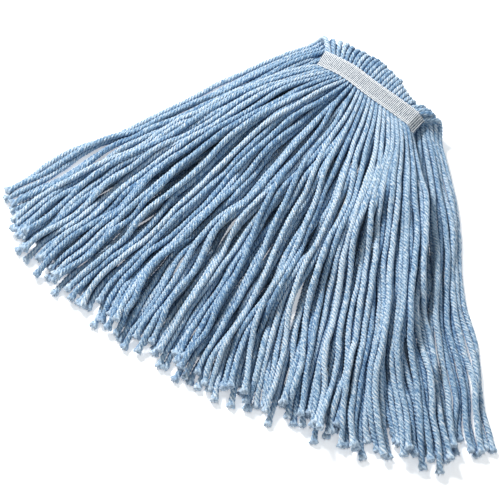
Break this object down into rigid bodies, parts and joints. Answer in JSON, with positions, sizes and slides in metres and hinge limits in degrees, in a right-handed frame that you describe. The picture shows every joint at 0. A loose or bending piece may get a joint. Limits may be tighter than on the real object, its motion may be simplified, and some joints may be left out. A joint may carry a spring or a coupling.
{
  "type": "wet mop head",
  "caption": "Cut-end wet mop head: heathered blue yarns sewn across a narrow white headband, folded behind it into a front and a rear half that swing on the band.",
  "frame": {"origin": "middle of the front tape's outer face", "axes": "+X along the headband, -Y the way the yarns lie, +Z out of the front tape's outer face"},
  "size_m": [0.6961, 0.5127, 0.048],
  "materials": {
    "headband_tape": "woven, matte",
    "sewing_thread": "twisted, slight sheen",
    "blue_yarn": "soft spun yarn, matte"
  },
  "bodies": {
    "headband": {"front_tape": "headband_tape", "rear_tape": "headband_tape", "upper_needle_thread": "sewing_thread", "lower_needle_thread": "sewing_thread", "upper_bobbin_thread": "sewing_thread", "lower_bobbin_thread": "sewing_thread", "band_yarns_left": "blue_yarn", "band_yarns_mid_left": "blue_yarn", "band_yarns_mid_right": "blue_yarn", "band_yarns_right": "blue_yarn", "crown_left": "blue_yarn", "crown_mid_left": "blue_yarn", "crown_mid_right": "blue_yarn", "crown_right": "blue_yarn"},
    "front_left_yarns": {"front_left_lock": "blue_yarn"},
    "front_mid_left_yarns": {"front_mid_left_lock": "blue_yarn"},
    "front_mid_right_yarns": {"front_mid_right_lock": "blue_yarn"},
    "front_right_yarns": {"front_right_lock": "blue_yarn"},
    "rear_left_yarns": {"rear_left_lock": "blue_yarn"},
    "rear_mid_left_yarns": {"rear_mid_left_lock": "blue_yarn"},
    "rear_mid_right_yarns": {"rear_mid_right_lock": "blue_yarn"},
    "rear_right_yarns": {"rear_right_lock": "blue_yarn"}
  },
  "joints": [
    {"name": "front_left_swing", "type": "hinge", "parent": "headband", "child": "front_left_yarns", "pos_m": [0, -0.0127, 0], "axis": [-1, 0, 0], "range_deg": [0, 110]},
    {"name": "front_mid_left_swing", "type": "hinge", "parent": "headband", "child": "front_mid_left_yarns", "pos_m": [0, -0.0127, 0], "axis": [-1, 0, 0], "range_deg": [0, 110]},
    {"name": "front_mid_right_swing", "type": "hinge", "parent": "headband", "child": "front_mid_right_yarns", "pos_m": [0, -0.0127, 0], "axis": [-1, 0, 0], "range_deg": [0, 110]},
    {"name": "front_right_swing", "type": "hinge", "parent": "headband", "child": "front_right_yarns", "pos_m": [0, -0.0127, 0], "axis": [-1, 0, 0], "range_deg": [0, 110]},
    {"name": "rear_left_swing", "type": "hinge", "parent": "headband", "child": "rear_left_yarns", "pos_m": [0, 0.0264, -0.02459], "axis": [1, 0, 0], "range_deg": [0, 110], "deforming": ["crown_left"]},
    {"name": "rear_mid_left_swing", "type": "hinge", "parent": "headband", "child": "rear_mid_left_yarns", "pos_m": [0, 0.0264, -0.02459], "axis": [1, 0, 0], "range_deg": [0, 110], "deforming": ["crown_mid_left"]},
    {"name": "rear_mid_right_swing", "type": "hinge", "parent": "headband", "child": "rear_mid_right_yarns", "pos_m": [0, 0.0264, -0.02459], "axis": [1, 0, 0], "range_deg": [0, 110], "deforming": ["crown_mid_right"]},
    {"name": "rear_right_swing", "type": "hinge", "parent": "headband", "child": "rear_right_yarns", "pos_m": [0, 0.0264, -0.02459], "axis": [1, 0, 0], "range_deg": [0, 110], "deforming": ["crown_right"]}
  ]
}
